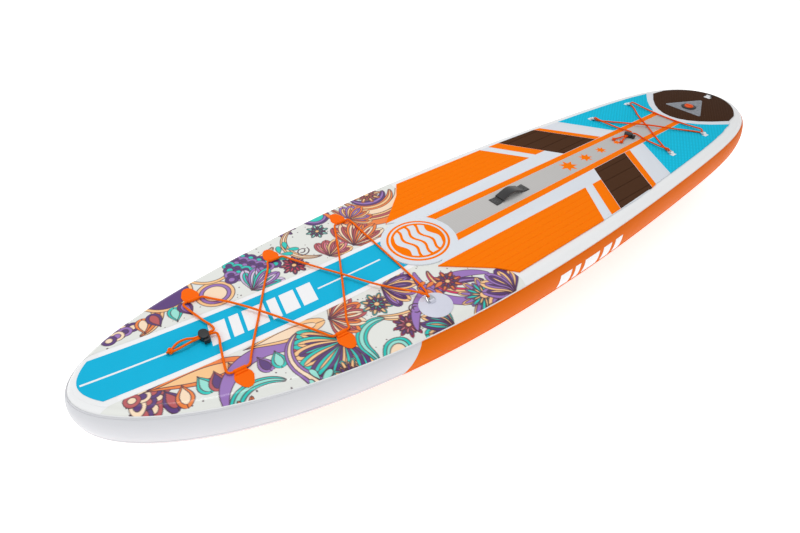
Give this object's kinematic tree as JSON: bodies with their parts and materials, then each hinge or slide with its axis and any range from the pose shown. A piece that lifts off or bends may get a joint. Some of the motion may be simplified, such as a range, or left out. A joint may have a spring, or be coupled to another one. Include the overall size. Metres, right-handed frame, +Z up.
{
  "type": "stand up paddleboard",
  "caption": "Inflatable paddleboard with blunt nose and squash tail, foam deck pads, laced bungees, carry handle, valve and fins.",
  "frame": {"origin": "on the flat bottom of the hull, on the centreline, halfway between nose and tail", "axes": "+Z up through the deck, +Y towards the tail, +X to port, so the nose points along -Y"},
  "size_m": [0.8102, 3.203, 0.4356],
  "materials": {
    "white_pvc": "semi-gloss coated fabric",
    "orange_pvc": "semi-gloss coated fabric",
    "orange_patch": "satin coated fabric",
    "yarn": "matte",
    "grey_foam": "matte closed-cell foam",
    "orange_foam": "matte closed-cell foam",
    "brown_foam": "matte closed-cell foam",
    "cyan_foam": "matte closed-cell foam",
    "orange_cord": "braided",
    "steel": "polished",
    "black_plastic": "satin moulded",
    "orange_plastic": "satin moulded",
    "black_webbing": "woven",
    "rubber": "matte"
  },
  "bodies": {
    "board": {"deck_panel": "white_pvc", "bottom_panel": "orange_pvc", "side_wall_front": "white_pvc", "side_wall_rear": "orange_pvc", "drop_stitch_yarn": "yarn", "pad_centre_grey": "grey_foam", "pad_strip_orange_port": "orange_foam", "pad_strip_orange_starboard": "orange_foam", "pad_block_orange_port": "orange_foam", "pad_block_orange_starboard": "orange_foam", "pad_bar_orange_port": "orange_foam", "pad_bar_orange_starboard": "orange_foam", "pad_brown_port": "brown_foam", "pad_brown_starboard": "brown_foam", "pad_line_orange_port": "orange_foam", "pad_line_orange_starboard": "orange_foam", "pad_cyan_port": "cyan_foam", "pad_cyan_starboard": "cyan_foam", "pad_tail_brown": "brown_foam", "rear_patch_front_port": "white_pvc", "rear_ring_front_port": "steel", "rear_patch_front_starboard": "white_pvc", "rear_ring_front_starboard": "steel", "rear_patch_rear_port": "white_pvc", "rear_ring_rear_port": "steel", "rear_patch_rear_starboard": "white_pvc", "rear_ring_rear_starboard": "steel", "leash_patch": "white_pvc", "front_round_patch": "white_pvc", "front_ring": "steel", "front_anchor_front_port": "orange_patch", "front_anchor_front_starboard": "orange_patch", "front_anchor_middle_port": "orange_patch", "front_anchor_middle_starboard": "orange_patch", "front_anchor_rear_starboard": "orange_patch", "front_bungee_cord": "orange_cord", "rear_bungee_cord": "orange_cord", "front_lock_barrel": "black_plastic", "front_lock_spring": "steel", "rear_lock_barrel": "black_plastic", "rear_lock_spring": "steel", "handle_webbing": "black_webbing", "handle_grip": "black_webbing", "handle_patch_front": "black_webbing", "handle_patch_rear": "black_webbing", "valve_flange": "black_plastic", "valve_nut": "black_plastic", "valve_spring": "steel", "fin_box": "black_plastic", "centre_fin": "black_plastic", "side_fin_port": "black_plastic", "side_fin_starboard": "black_plastic"},
    "valve_cap_seal": {"valve_cap_seal": "rubber"},
    "valve_cap": {"valve_cap": "orange_plastic"},
    "valve_stem": {"valve_stem": "orange_plastic"},
    "front_lock_button": {"front_lock_button": "black_plastic"},
    "rear_lock_button": {"rear_lock_button": "black_plastic"},
    "leash_ring": {"leash_ring": "steel"},
    "fin_clip": {"fin_clip": "orange_plastic"}
  },
  "joints": [
    {"name": "valve_cap_turn", "type": "hinge", "parent": "board", "child": "valve_cap_seal", "pos_m": [0, 1.315, 0.16], "axis": [0, 0, 1], "range_deg": [0, 60]},
    {"name": "valve_cap_lift", "type": "slide", "parent": "valve_cap_seal", "child": "valve_cap", "axis": [0, 0, 1], "range_m": [0, 0.03]},
    {"name": "valve_stem_push", "type": "slide", "parent": "board", "child": "valve_stem", "axis": [0, 0, -1], "range_m": [0, 0.006], "stiffness_N_per_m": 500, "springref_m": -0.004, "deforming": ["valve_spring"]},
    {"name": "front_lock_press", "type": "slide", "parent": "board", "child": "front_lock_button", "axis": [-1, 0, 0], "range_m": [0, 0.004], "stiffness_N_per_m": 500, "springref_m": -0.004, "deforming": ["front_lock_spring"]},
    {"name": "rear_lock_press", "type": "slide", "parent": "board", "child": "rear_lock_button", "axis": [-1, 0, 0], "range_m": [0, 0.004], "stiffness_N_per_m": 500, "springref_m": -0.004, "deforming": ["rear_lock_spring"]},
    {"name": "leash_ring_swing", "type": "hinge", "parent": "board", "child": "leash_ring", "pos_m": [0, 1.5, 0.1603], "axis": [1, 0, 0], "range_deg": [0, 150]},
    {"name": "fin_clip_pull", "type": "slide", "parent": "board", "child": "fin_clip", "axis": [1, 0, 0], "range_m": [0, 0.045]}
  ]
}
